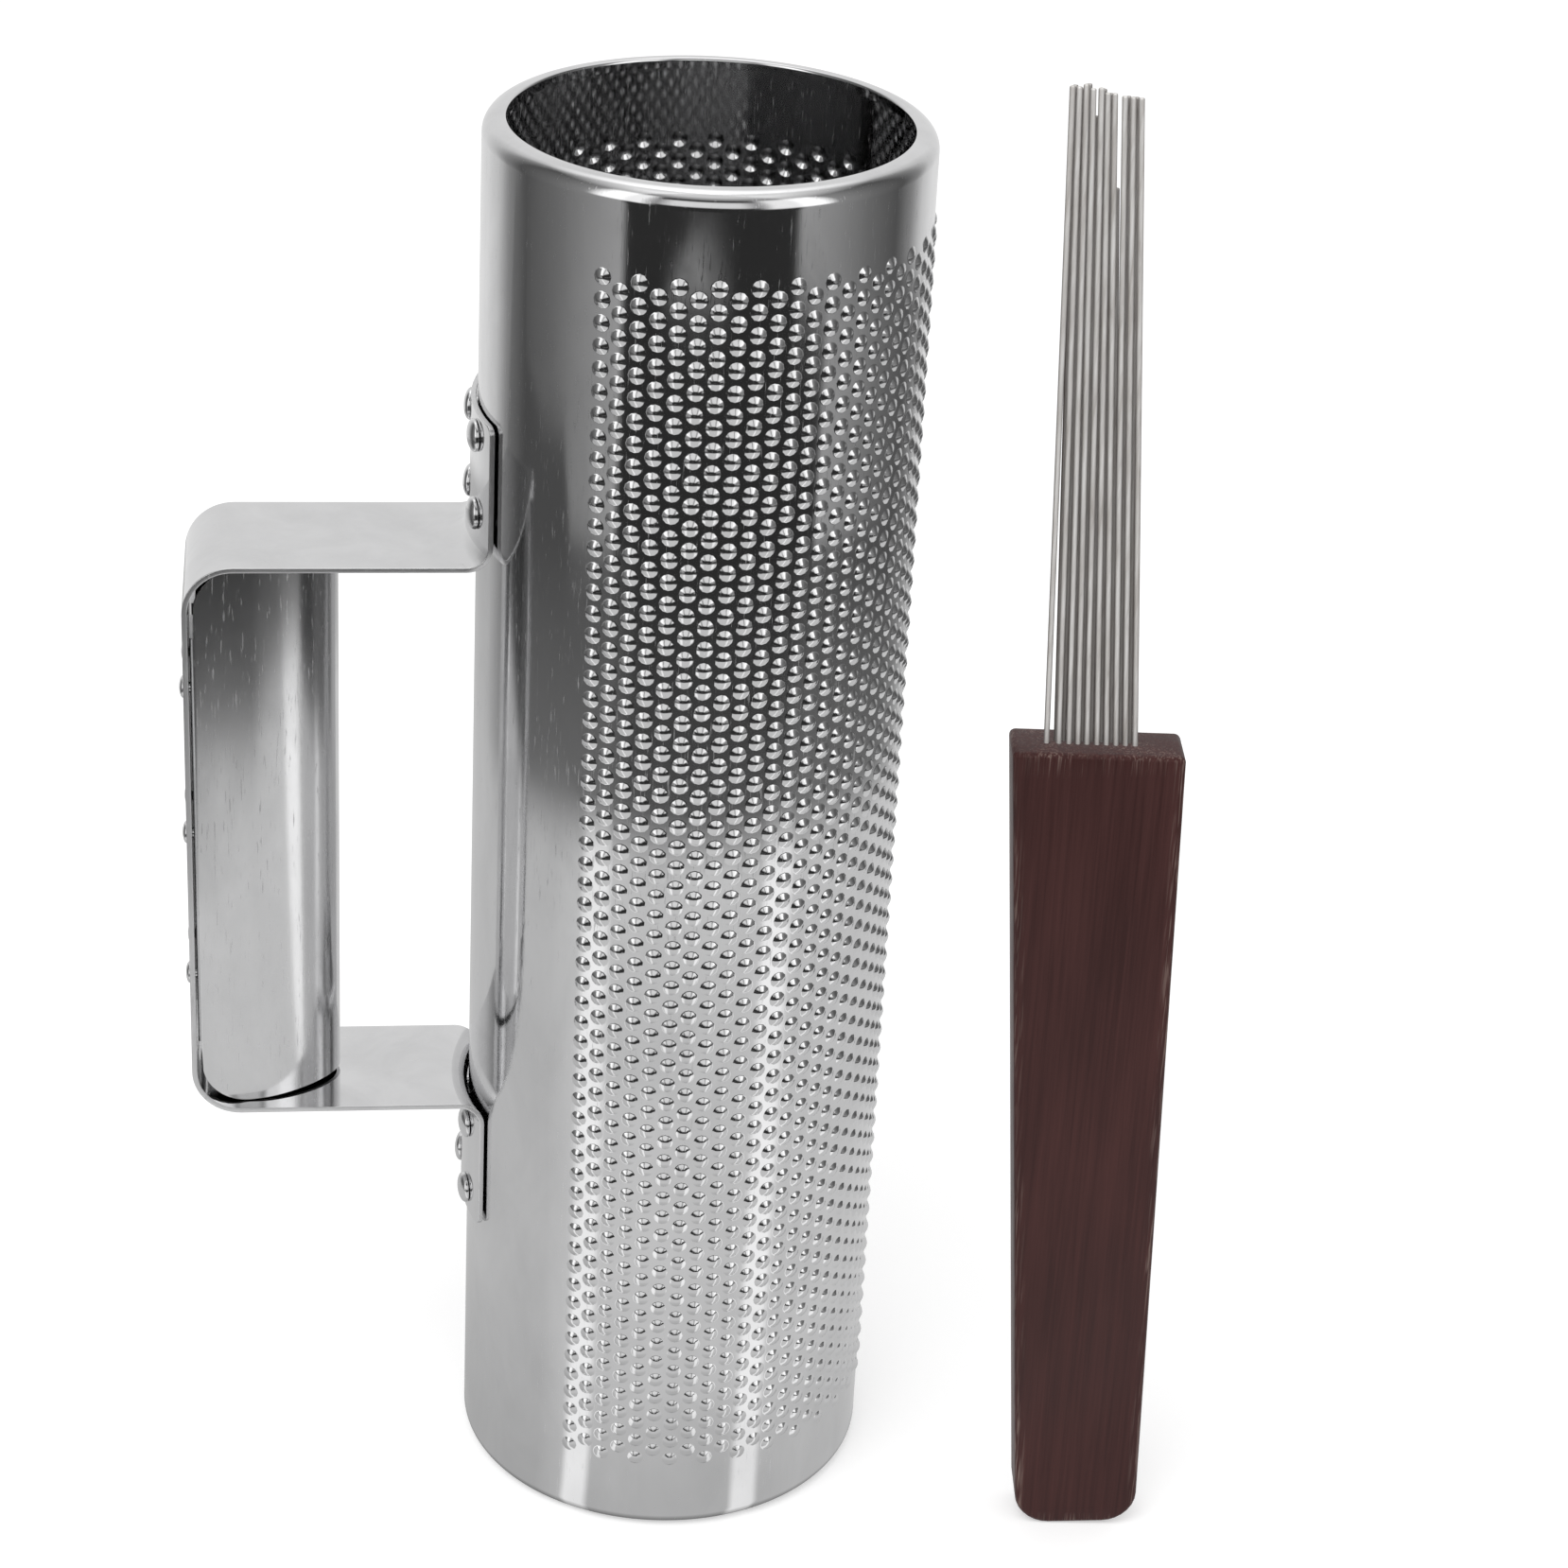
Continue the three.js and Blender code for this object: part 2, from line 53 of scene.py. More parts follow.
tubeLow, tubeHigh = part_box("tube_body")
axis = Vector((tubeLow.x / mm + tube["radius"], (tubeLow.y + tubeHigh.y) / 2 / mm, 0))


# The camera stands where the photograph was taken from. Its place is in metres.
camera = {"place": (-0.08306, -0.78917, 0.58442), "yaw": 7.717, "down": 27.266,
          "roll": 3.116, "lens": 90.386, "sensor": 36}


def makeCamera():
    data = bpy.data.cameras.new("photoCamera")
    data.lens = camera["lens"]
    data.sensor_width = camera["sensor"]
    data.clip_start = 0.05
    data.clip_end = 50
    holder = bpy.data.objects.new("photoCamera", data)
    scene.collection.objects.link(holder)
    turn = (Matrix.Rotation(math.radians(-camera["yaw"]), 4, "Z")
            @ Matrix.Rotation(math.radians(90 - camera["down"]), 4, "X")
            @ Matrix.Rotation(math.radians(camera["roll"]), 4, "Z"))
    holder.matrix_world = Matrix.Translation(camera["place"]) @ turn
    scene.camera = holder


makeCamera()
print("camera placed")


# Materials. Every pattern reads Object coordinates, in metres.
def newMaterial(name):
    material = bpy.data.materials.new(name)
    material.use_nodes = True
    return material, material.node_tree, material.node_tree.nodes["Principled BSDF"]


def patternPlace(tree, scale, centre=(0, 0, 0)):
    coords = tree.nodes.new("ShaderNodeTexCoord")
    mapping = tree.nodes.new("ShaderNodeMapping")
    mapping.inputs["Location"].default_value = [-c * s for c, s in zip(centre, scale)]
    mapping.inputs["Scale"].default_value = scale
    tree.links.new(coords.outputs["Object"], mapping.inputs["Vector"])
    return mapping.outputs["Vector"]


def noisePattern(tree, scale, detail=3, roughness=0.55, distortion=0):
    texture = tree.nodes.new("ShaderNodeTexNoise")
    texture.inputs["Scale"].default_value = 1
    texture.inputs["Detail"].default_value = detail
    texture.inputs["Roughness"].default_value = roughness
    texture.inputs["Distortion"].default_value = distortion
    tree.links.new(patternPlace(tree, scale), texture.inputs["Vector"])
    return texture.outputs["Fac"]


def spread(tree, value, fromLow, fromHigh, toLow, toHigh):
    node = tree.nodes.new("ShaderNodeMapRange")
    node.inputs["From Min"].default_value = fromLow
    node.inputs["From Max"].default_value = fromHigh
    node.inputs["To Min"].default_value = toLow
    node.inputs["To Max"].default_value = toHigh
    tree.links.new(value, node.inputs["Value"])
    return node.outputs["Result"]


def combine(tree, operation, first, second):
    node = tree.nodes.new("ShaderNodeMath")
    node.operation = operation
    for value, place in ((first, node.inputs[0]), (second, node.inputs[1])):
        if isinstance(value, (int, float)):
            place.default_value = value
        else:
            tree.links.new(value, place)
    return node.outputs["Value"]


def total(tree, *values):
    result = values[0]
    for value in values[1:]:
        result = combine(tree, "ADD", result, value)
    return result


def product(tree, *values):
    result = values[0]
    for value in values[1:]:
        result = combine(tree, "MULTIPLY", result, value)
    return result


# One between two limits, falling to zero over a soft edge outside them.
def band(tree, value, low, high, soft):
    rising = spread(tree, value, low - soft, low, 0, 1)
    return product(tree, rising, spread(tree, value, high, high + soft, 1, 0))


def blendColours(tree, share, first, second):
    node = tree.nodes.new("ShaderNodeMix")
    node.data_type = "RGBA"
    tree.links.new(share, node.inputs["Factor"])
    colours = [socket for socket in node.inputs if socket.type == "RGBA"]
    for value, place in zip((first, second), colours):
        if isinstance(value, tuple):
            place.default_value = (*value, 1)
        else:
            tree.links.new(value, place)
    return [socket for socket in node.outputs if socket.type == "RGBA"][0]


# The height is in metres.
def bumpFrom(tree, height):
    node = tree.nodes.new("ShaderNodeBump")
    node.inputs["Strength"].default_value = 1
    node.inputs["Distance"].default_value = 1
    tree.links.new(height, node.inputs["Height"])
    return node.outputs["Normal"]


steel = {"bright": (0.76, 0.76, 0.765), "dull": (0.68, 0.68, 0.685),
         "smudgeScale": (60, 60, 30), "scratchScale": (2600, 2600, 190), "scratchRough": 0.3,
         "smudgeNoise": (4, 0.6, 0.4), "scratchNoise": (2, 0.5), "waveNoise": (1, 0.4),
         "smudgeRange": (0.35, 0.7), "scratchRange": (0.62, 0.78), "roughLow": 0.055, "roughHigh": 0.13,
         "waveScale": (40, 40, 9), "waveHeight": 0.000012, "scratchHeight": 0.000003, "metal": 1}


def steelMaterial(name, values):
    material, tree, shader = newMaterial(name)
    smudge = noisePattern(tree, values["smudgeScale"], *values["smudgeNoise"])
    scratch = noisePattern(tree, values["scratchScale"], *values["scratchNoise"])
    share = spread(tree, smudge, *values["smudgeRange"], 0, 1)
    colour = blendColours(tree, share, values["bright"], values["dull"])
    # Painted shade: the colour darkens towards a shade colour where an attribute asks for it.
    if "grime" in values:
        grime = tree.nodes.new("ShaderNodeAttribute")
        grime.attribute_name = "grime"
        colour = blendColours(tree, grime.outputs["Fac"], colour, values["grime"])
    tree.links.new(colour, shader.inputs["Base Color"])
    shader.inputs["Metallic"].default_value = values["metal"]
    rough = spread(tree, smudge, *values["smudgeRange"], values["roughLow"], values["roughHigh"])
    marks = spread(tree, scratch, *values["scratchRange"], 0, values["scratchRough"])
    tree.links.new(total(tree, rough, marks), shader.inputs["Roughness"])
    wave = noisePattern(tree, values["waveScale"], *values["waveNoise"])
    high = product(tree, wave, values["waveHeight"])
    fine = product(tree, scratch, values["scratchHeight"])
    normal = bumpFrom(tree, total(tree, high, fine))
    tree.links.new(normal, shader.inputs["Normal"])
    return material


tubeSteel = steelMaterial("polished tube steel", steel)
strapSteel = steelMaterial("polished strap steel", {
    **steel, "scratchScale": (90, 2600, 90), "waveScale": (20, 30, 20), "waveHeight": 0.00002})
gripSteel = steelMaterial("polished grip steel", {
    **steel, "waveScale": (30, 60, 14), "waveHeight": 0.00003, "roughLow": 0.12, "roughHigh": 0.18})
rivetSteel = steelMaterial("rivet steel", {
    **steel, "smudgeScale": (400, 400, 400), "scratchScale": (1500, 1500, 1500),
    "waveScale": (300, 300, 300), "waveHeight": 0.00002, "roughLow": 0.1, "roughHigh": 0.22})
cutSteel = steelMaterial("cut edge steel", {**steel, "roughLow": 0.32, "roughHigh": 0.4})
# The wires get a painted shade colour on their sides, on the back row and towards their roots.
wireSteel = steelMaterial("drawn wire steel", {
    **steel, "bright": (0.93, 0.915, 0.895), "dull": (0.56, 0.53, 0.50),
    "smudgeScale": (900, 900, 60), "scratchScale": (5000, 5000, 160),
    "roughLow": 0.3, "roughHigh": 0.42, "waveHeight": 0.000004, "metal": 0.25,
    "grime": (0.072, 0.052, 0.043)})


wood = {"height": 205.5, "topWidth": 37.5, "buttWidth": 28.6, "thickness": 13, "slant": 2.1,
        "topCorner": 1.5, "buttCorner": 8, "edge": 1.2, "worn": 2.6, "yaw": -5, "lean": -3.2,
        "dark": (0.041, 0.0140, 0.0131), "light": (0.069, 0.0242, 0.0223), "bare": (0.30, 0.22, 0.19),
        "grainScale": (900, 900, 22), "poreScale": (2400, 2400, 90), "patchScale": (70, 70, 18),
        "grainNoise": (4, 0.6, 0.3), "poreNoise": (2, 0.5), "grainShare": 0.6, "patchShare": 0.4,
        "colourRange": (0.38, 0.64, 0, 1), "speckRange": (0.5, 0.66, 0, 1),
        "rubRange": (0.4, 0.6, 0.15, 0.8), "roughRange": (0.3, 0.7, 0.34, 0.5),
        "specular": 0.2, "coat": 0.05, "coatRough": 0.22, "relief": 0.000012, "cutStep": 4}


def woodMaterial():
    material, tree, shader = newMaterial("stained wood")
    grain = noisePattern(tree, wood["grainScale"], *wood["grainNoise"])
    pores = noisePattern(tree, wood["poreScale"], *wood["poreNoise"])
    patch = noisePattern(tree, wood["patchScale"], *wood["poreNoise"])
    mixed = total(tree, product(tree, grain, wood["grainShare"]),
                  product(tree, patch, wood["patchShare"]))
    base = blendColours(tree, spread(tree, mixed, *wood["colourRange"]), wood["dark"], wood["light"])
    wear = tree.nodes.new("ShaderNodeAttribute")
    wear.attribute_name = "wear"
    specks = product(tree, wear.outputs["Fac"], spread(tree, pores, *wood["speckRange"]))
    rub = product(tree, specks, spread(tree, patch, *wood["rubRange"]))
    tree.links.new(blendColours(tree, rub, base, wood["bare"]), shader.inputs["Base Color"])
    tree.links.new(spread(tree, grain, *wood["roughRange"]), shader.inputs["Roughness"])
    shader.inputs["Specular IOR Level"].default_value = wood["specular"]
    shader.inputs["Coat Weight"].default_value = wood["coat"]
    shader.inputs["Coat Roughness"].default_value = wood["coatRough"]
    high = product(tree, total(tree, grain, pores), wood["relief"])
    tree.links.new(bumpFrom(tree, high), shader.inputs["Normal"])
    return material


stainedWood = woodMaterial()
print("materials made")


# Pieces are shaped in millimetres. finishPiece puts them in metres and in the frame.
def finishPiece(bm, name, material, nodes, body):
    bmesh.ops.scale(bm, vec=(mm, mm, mm), verts=bm.verts)
    for face in bm.faces:
        face.smooth = True
    mesh = bpy.data.meshes.new(name)
    bm.to_mesh(mesh)
    bm.free()
    layer = mesh.attributes.get("surfaceNormal")
    if layer:
        normals = [item.vector.copy() for item in layer.data]
        mesh.attributes.remove(layer)
        mesh.normals_split_custom_set_from_vertices(normals)
    mesh.materials.append(material)
    piece = bpy.data.objects.new(name, mesh)
    scene.collection.objects.link(piece)
    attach(piece, body)
    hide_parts(*nodes)
    return piece


# The cut edges of a sheet are duller than its faces.
def finishSheet(piece, thickness, offset, edge):
    piece.data.materials.append(cutSteel)
    sheet = piece.modifiers.new("sheet thickness", "SOLIDIFY")
    sheet.thickness = thickness * mm
    sheet.offset = offset
    sheet.use_even_offset = True
    sheet.material_offset_rim = 1
    finishEdges(piece, edge)


def finishEdges(piece, edge, turn=30):
    softEdge = piece.modifiers.new("softened edges", "BEVEL")
    softEdge.width = edge * mm
    softEdge.segments = 2
    softEdge.limit_method = "ANGLE"
    softEdge.angle_limit = math.radians(turn)
    flat = piece.modifiers.new("flat faces", "WEIGHTED_NORMAL")
    flat.keep_sharp = True


def spinProfile(points, steps):
    bm = bmesh.new()
    verts = [bm.verts.new((r, 0, z)) for r, z in points]
    edges = [bm.edges.new(pair) for pair in zip(verts, verts[1:])]
    bmesh.ops.spin(bm, geom=verts + edges, cent=(0, 0, 0), axis=(0, 0, 1),
                   angle=2 * math.pi, steps=steps, use_merge=True)
    bmesh.ops.remove_doubles(bm, verts=bm.verts, dist=0.001)
    bmesh.ops.recalc_face_normals(bm, faces=bm.faces)
    return bm


def arcPoints(centreX, centreY, radius, start, end, steps):
    turns = [math.radians(start + (end - start) * i / steps) for i in range(steps + 1)]
    return [(centreX + radius * math.cos(t), centreY + radius * math.sin(t)) for t in turns]


# The tube. Its wall is made flat, bead by bead, and rolled: x runs round it, y up it, z out of it.
beads = {"columns": 51, "rowStep": 5, "low": 20, "high": 310, "field": (17.5, 312.5),
         "sides": 12, "sectors": 3,
         "profile": ((0, 0.66), (0.8, 0.51), (1.7, 0.09), (2.02, 0)), "tilts": (0, 21, 28, 0)}
columnStep = 2 * math.pi / tube["columns"]
columnWidth = columnStep * tube["radius"]


def beadTile():
    bm = bmesh.new()
    rise = [bm.verts.new((r, 0, z)) for r, z in beads["profile"]]
    edges = [bm.edges.new(pair) for pair in zip(rise, rise[1:])]
    bmesh.ops.spin(bm, geom=rise + edges, cent=(0, 0, 0), axis=(0, 0, 1),
                   angle=2 * math.pi, steps=beads["sides"], use_merge=True)
    bmesh.ops.remove_doubles(bm, verts=bm.verts, dist=0.001)
    # The foot of the bead is carried out to the edges of its own part of the sheet, one point a side.
    foot = [edge for edge in bm.edges if edge.is_boundary]
    grown = bmesh.ops.extrude_edge_only(bm, edges=foot)["geom"]
    x, y = columnWidth / 2, beads["rowStep"] / 2
    outline = ((x, 0), (x, y / 2), (x, y), (0, y), (-x, y), (-x, y / 2),
               (-x, 0), (-x, -y / 2), (-x, -y), (0, -y), (x, -y), (x, -y / 2))
    for vert in (item for item in grown if isinstance(item, bmesh.types.BMVert)):
        turn = math.atan2(vert.co.y, vert.co.x) / (2 * math.pi) * beads["sides"]
        vert.co = (*outline[round(turn) % beads["sides"]], 0)
    return withNormals(bm)


def withNormals(bm):
    layer = bm.verts.layers.float_vector.new("surfaceNormal")
    for vert in bm.verts:
        reach = Vector((vert.co.x, vert.co.y)).length
        vert[layer] = (0, 0, 1)
        for (ring, _), tilt in zip(beads["profile"], beads["tilts"]):
            if tilt and abs(reach - ring) < 0.01:
                lean = math.sin(math.radians(tilt)) / reach
                vert[layer] = (vert.co.x * lean, vert.co.y * lean, math.cos(math.radians(tilt)))
    bmesh.ops.recalc_face_normals(bm, faces=bm.faces)
    if sum(face.normal.z for face in bm.faces) < 0:
        bmesh.ops.reverse_faces(bm, faces=bm.faces)
    return bm


def halfCell():
    bm = bmesh.new()
    x, y = columnWidth / 2, beads["rowStep"] / 4
    places = ((-x, -y), (0, -y), (x, -y), (x, 0), (x, y), (0, y), (-x, y), (-x, 0))
    bm.faces.new([bm.verts.new((*place, 0)) for place in places])
    return withNormals(bm)


def asMesh(bm, name):
    mesh = bpy.data.meshes.new(name)
    bm.to_mesh(mesh)
    bm.free()
    return mesh


def addMoved(bm, mesh, x, y):
    before = len(bm.verts)
    bm.from_mesh(mesh)
    bm.verts.ensure_lookup_table()
    bmesh.ops.translate(bm, vec=(x, y, 0), verts=bm.verts[before:])


def beadColumn(shifted):
    tile, cell = asMesh(beadTile(), "tile"), asMesh(halfCell(), "cell")
    bm = bmesh.new()
    low = beads["low"] + (beads["rowStep"] / 2 if shifted else 0)
    high = beads["high"] - (beads["rowStep"] / 2 if shifted else 0)
    for row in range(round((high - low) / beads["rowStep"]) + 1):
        addMoved(bm, tile, 0, low + row * beads["rowStep"])
    if shifted:
        quarter = beads["rowStep"] / 4
        addMoved(bm, cell, 0, beads["field"][0] + quarter)
        addMoved(bm, cell, 0, beads["field"][1] - quarter)
    bmesh.ops.remove_doubles(bm, verts=bm.verts, dist=0.01)
    return asMesh(bm, "column")


def thickenAndRoll(bm):
    layer = bm.verts.layers.float_vector["surfaceNormal"]
    grown = bmesh.ops.extrude_face_region(bm, geom=bm.faces[:], use_keep_orig=True)["geom"]
    inner = [item for item in grown if isinstance(item, bmesh.types.BMVert)]
    bmesh.ops.translate(bm, vec=(0, 0, -tube["wall"]), verts=inner)
    for vert in inner:
        vert[layer] = -vert[layer]
    bmesh.ops.recalc_face_normals(bm, faces=bm.faces)
    for vert in bm.verts:
        angle = vert.co.x / tube["radius"]
        out = Vector((math.cos(angle), math.sin(angle), 0))
        side = Vector((-math.sin(angle), math.cos(angle), 0))
        flat = vert[layer].copy()
        vert.co = axis + out * (tube["radius"] + vert.co.z) + Vector((0, 0, vert.co.y))
        vert[layer] = side * flat.x + out * flat.z + Vector((0, 0, flat.y))
    return bm


def makeBeadSectors():
    columns = [beadColumn(False), beadColumn(True)]
    each = beads["columns"] // beads["sectors"]
    for sector in range(beads["sectors"]):
        bm = bmesh.new()
        for index in range(sector * each, (sector + 1) * each):
            place = (index - (beads["columns"] - 1) / 2) * columnWidth
            addMoved(bm, columns[index % 2], place, 0)
        bmesh.ops.remove_doubles(bm, verts=bm.verts, dist=0.01)
        finishPiece(thickenAndRoll(bm), f"beadedWall{sector + 1}", tubeSteel,
                    ["tube_body"], "guiro")


def rimProfile():
    radius, height, wall = tube["radius"], tube["height"], tube["wall"]
    shoulder, curl, edge = tube["shoulder"], tube["curl"], tube["lipEdge"]
    bendX, bendZ = radius - shoulder, height - shoulder
    curlX, curlZ = bendX - tube["rimFlat"], height - curl
    lipX, lipZ = curlX - curl + edge, curlZ - tube["lip"]
    rows = [(radius, beads["field"][1], 0)]
    rows += [(*p, 90 * i / 14) for i, p in enumerate(arcPoints(bendX, bendZ, shoulder, 0, 90, 14))]
    rows += [(*p, 90 + 90 * i / 6) for i, p in enumerate(arcPoints(curlX, curlZ, curl, 90, 180, 6))]
    rows += [(*p, 180 + 180 * i / 6) for i, p in enumerate(arcPoints(lipX, lipZ, edge, 180, 360, 6))]
    rows += [(*p, 360 - 90 * i / 4) for i, p in enumerate(
        arcPoints(curlX, curlZ, curl - wall, 180, 90, 4))]
    rows += [(*p, 270 - 90 * i / 14) for i, p in enumerate(
        arcPoints(bendX, bendZ, shoulder - wall, 90, 0, 14))]
    rows.append((radius - wall, beads["field"][1], 180))
    return rows


def plainSheet():
    bm = bmesh.new()
    plain = tube["columns"] - beads["columns"]
    low, high = beads["field"]
    bmesh.ops.create_grid(bm, x_segments=2 * plain, y_segments=8, size=0.5)
    bmesh.ops.scale(bm, vec=(plain * columnWidth, high - low, 1), verts=bm.verts)
    middle = math.pi * tube["radius"]
    bmesh.ops.translate(bm, vec=(middle, (low + high) / 2, 0), verts=bm.verts)
    layer = bm.verts.layers.float_vector.new("surfaceNormal")
    for vert in bm.verts:
        vert[layer] = (0, 0, 1)
    return asMesh(thickenAndRoll(bm), "plain")


# The upper rim, with a notch in its lip at the seam.
def rimRing():
    profile = rimProfile()
    bm = bmesh.new()
    layer = bm.verts.layers.float_vector.new("surfaceNormal")
    verts = [bm.verts.new((r, 0, z)) for r, z, turn in profile]
    for vert, (r, z, turn) in zip(verts, profile):
        vert[layer] = (math.cos(math.radians(turn)), 0, math.sin(math.radians(turn)))
    edges = [bm.edges.new(pair) for pair in zip(verts, verts[1:] + verts[:1])]
    bmesh.ops.spin(bm, geom=verts + edges, cent=(0, 0, 0), axis=(0, 0, 1),
                   angle=2 * math.pi, steps=2 * tube["columns"], use_merge=True)
    bmesh.ops.remove_doubles(bm, verts=bm.verts, dist=0.0005)
    bmesh.ops.recalc_face_normals(bm, faces=bm.faces)
    seam = math.radians(tube["seamAngle"])
    inside, below = tube["radius"] - tube["notchInside"], tube["height"] - tube["notchBelow"]
    for vert in bm.verts:
        angle = math.atan2(vert.co.y, vert.co.x)
        flat = vert[layer].copy()
        vert[layer] = (flat.x * math.cos(angle), flat.x * math.sin(angle), flat.z)
        isLip = vert.co.xy.length < inside and vert.co.z < below
        if isLip and abs(angle - seam) < columnStep * tube["notchHalf"]:
            vert.co.z += tube["notchDepth"]
    return asMesh(bm, "rim")


def makePlainWall():
    wallMesh, rimMesh = plainSheet(), rimRing()
    bm = bmesh.new()
    bm.from_mesh(rimMesh)
    upper = len(bm.verts)
    bm.from_mesh(rimMesh)
    bm.verts.ensure_lookup_table()
    layer = bm.verts.layers.float_vector["surfaceNormal"]
    lower = bm.verts[upper:]
    for vert in lower:
        vert.co.z = tube["height"] - vert.co.z
        vert[layer] = (vert[layer].x, vert[layer].y, -vert[layer].z)
    bmesh.ops.reverse_faces(bm, faces=list({face for vert in lower for face in vert.link_faces}))
    bmesh.ops.translate(bm, vec=axis, verts=bm.verts)
    bm.from_mesh(wallMesh)
    finishPiece(bm, "plainWallAndRims", tubeSteel, ["tube_body"], "guiro")


makeBeadSectors()
makePlainWall()
print("tube rolled")


# The handle, in its own axes: x away from the tube, y across, z up. It points along -X.
strap = {"width": 36, "thickness": 1.2, "reach": 111.6, "lowArm": 98.6, "highArm": 235.2,
         "outerBend": 11, "footBend": 4.5, "foot": 32.3, "footCurve": 51, "corner": 2,
         "footGap": 0.3, "edge": 0.22, "acrossSteps": 12}
grip = {"thickness": 0.8, "depth": 32.1, "cheek": 13.1, "noseHalf": 14.4, "backHalf": 15.7,
        "blunt": 0.45, "cheekReach": 0.63, "cheekWidth": 0.96, "bend": 1, "slot": 6,
        "flange": 101, "corner": 10.5, "endRise": 1.2, "endExtra": 4, "gap": 0.3, "edge": 0.15,
        "curveSteps": 24, "rows": 24}
handleMiddle = (strap["lowArm"] + strap["highArm"]) / 2


def handleToFrame(bm):
    bmesh.ops.rotate(bm, cent=(0, 0, 0), matrix=Matrix.Rotation(math.pi, 3, "Z"), verts=bm.verts)
    bmesh.ops.translate(bm, vec=axis, verts=bm.verts)


def strapPath():
    half = strap["thickness"] / 2
    footX = tube["radius"] + strap["footGap"] + half
    footBend, outerBend = strap["footBend"] + half, strap["outerBend"] - half
    armZ, webX = strap["highArm"] - half, strap["reach"] - half
    top = [(footX, armZ + footBend + strap["foot"] - strap["footBend"])]
    top.append((footX, (top[0][1] + armZ + footBend) / 2))
    top += arcPoints(footX + footBend, armZ + footBend, footBend, 180, 270, 10)
    for share in (0.25, 0.5, 0.75):
        top.append((footX + footBend + (webX - outerBend - footX - footBend) * share, armZ))
    top += arcPoints(webX - outerBend, armZ - outerBend, outerBend, 90, 0, 14)
    bottom = [(x, 2 * handleMiddle - z) for x, z in reversed(top)]
    quarters = [(webX, handleMiddle + (armZ - outerBend - handleMiddle) * s) for s in (0.5, 0, -0.5)]
    return top + quarters + bottom


def makeStrap():
    path = [Vector(p) for p in strapPath()]
    places = [0]
    for a, b in zip(path, path[1:]):
        places.append(places[-1] + (b - a).length)
    bm = bmesh.new()
    side = strap["width"] / 2
    blank = bm.faces.new([bm.verts.new((u, v, 0)) for u, v in (
        (0, -side), (places[-1], -side), (places[-1], side), (0, side))])
    bmesh.ops.bevel(bm, geom=blank.verts[:], offset=strap["corner"], segments=4, profile=0.5,
                    affect="VERTICES", material=-1)
    for place in places[1:-1]:
        bmesh.ops.bisect_plane(bm, geom=bm.verts[:] + bm.edges[:] + bm.faces[:], dist=0.0001,
                               plane_co=(place, 0, 0), plane_no=(1, 0, 0))
    for step in range(1, strap["acrossSteps"]):
        across = strap["width"] * (step / strap["acrossSteps"] - 0.5)
        bmesh.ops.bisect_plane(bm, geom=bm.verts[:] + bm.edges[:] + bm.faces[:], dist=0.0001,
                               plane_co=(0, across, 0), plane_no=(0, 1, 0))
    flatX = tube["radius"] + strap["footGap"] + strap["thickness"] / 2 + strap["footBend"]
    fadeX = strap["reach"] - strap["outerBend"]
    for vert in bm.verts:
        index = max(i for i in range(len(places) - 1) if places[i] <= vert.co.x + 0.0001)
        share = (vert.co.x - places[index]) / (places[index + 1] - places[index])
        spot = path[index].lerp(path[index + 1], share)
        follow = min(1, max(0, (fadeX - spot.x) / (fadeX - flatX)))
        curve = strap["footCurve"] - math.sqrt(strap["footCurve"] ** 2 - vert.co.y ** 2)
        vert.co = (spot.x - curve * follow, vert.co.y, spot.y)
    bmesh.ops.recalc_face_normals(bm, faces=bm.faces)
    handleToFrame(bm)
    piece = finishPiece(bm, "formedStrap", strapSteel, ["handle_strap"], "guiro")
    finishSheet(piece, strap["thickness"], 0, strap["edge"])


def gripSection():
    backX = strap["reach"] - strap["thickness"] - grip["gap"]
    noseX, cheekX = backX - grip["depth"], backX - grip["cheek"]
    bend = grip["bend"]
    edgeX, edgeY = backX - bend, grip["backHalf"] - bend
    cornerX = backX - grip["thickness"] - grip["corner"]
    half = [(backX, grip["slot"] / 2), (backX, edgeY * 0.6)]
    half += arcPoints(edgeX, edgeY, bend, 0, 90, 5)
    slope = (grip["backHalf"] - grip["noseHalf"]) / (edgeX - cheekX)
    for turn in range(0, 91, 9):
        x = cornerX + grip["corner"] * math.sin(math.radians(90 - turn))
        if x < edgeX - 0.05:
            half.append((x, grip["backHalf"] - slope * (edgeX - x)))
    reachX = noseX + (cheekX - noseX) * grip["cheekReach"]
    curve = [Vector((cheekX, grip["noseHalf"])),
             Vector((reachX, grip["noseHalf"] * grip["cheekWidth"])),
             Vector((noseX, grip["noseHalf"] * grip["blunt"])), Vector((noseX, 0))]
    for step in range(grip["curveSteps"] + 1):
        t = step / grip["curveSteps"]
        point = (curve[0] * (1 - t) ** 3 + curve[1] * 3 * t * (1 - t) ** 2
                 + curve[2] * 3 * t * t * (1 - t) + curve[3] * t ** 3)
        half.append((point.x, point.y))
    return half + [(x, -y) for x, y in reversed(half[:-1])]


# How far the grip reaches above its middle at a place along its side.
def gripEnd(x):
    backX = strap["reach"] - strap["thickness"] - grip["gap"]
    top = strap["highArm"] - strap["thickness"] - grip["gap"] - handleMiddle
    edgeX = backX - grip["thickness"]
    cornerX = edgeX - grip["corner"]
    if x > edgeX + 0.01:
        return grip["flange"] / 2
    if x > cornerX:
        return top - grip["corner"] + math.sqrt(max(0, grip["corner"] ** 2 - (x - cornerX) ** 2))
    run = grip["depth"] + grip["endExtra"] - grip["thickness"] - grip["corner"]
    return top - grip["endRise"] * (cornerX - x) / run


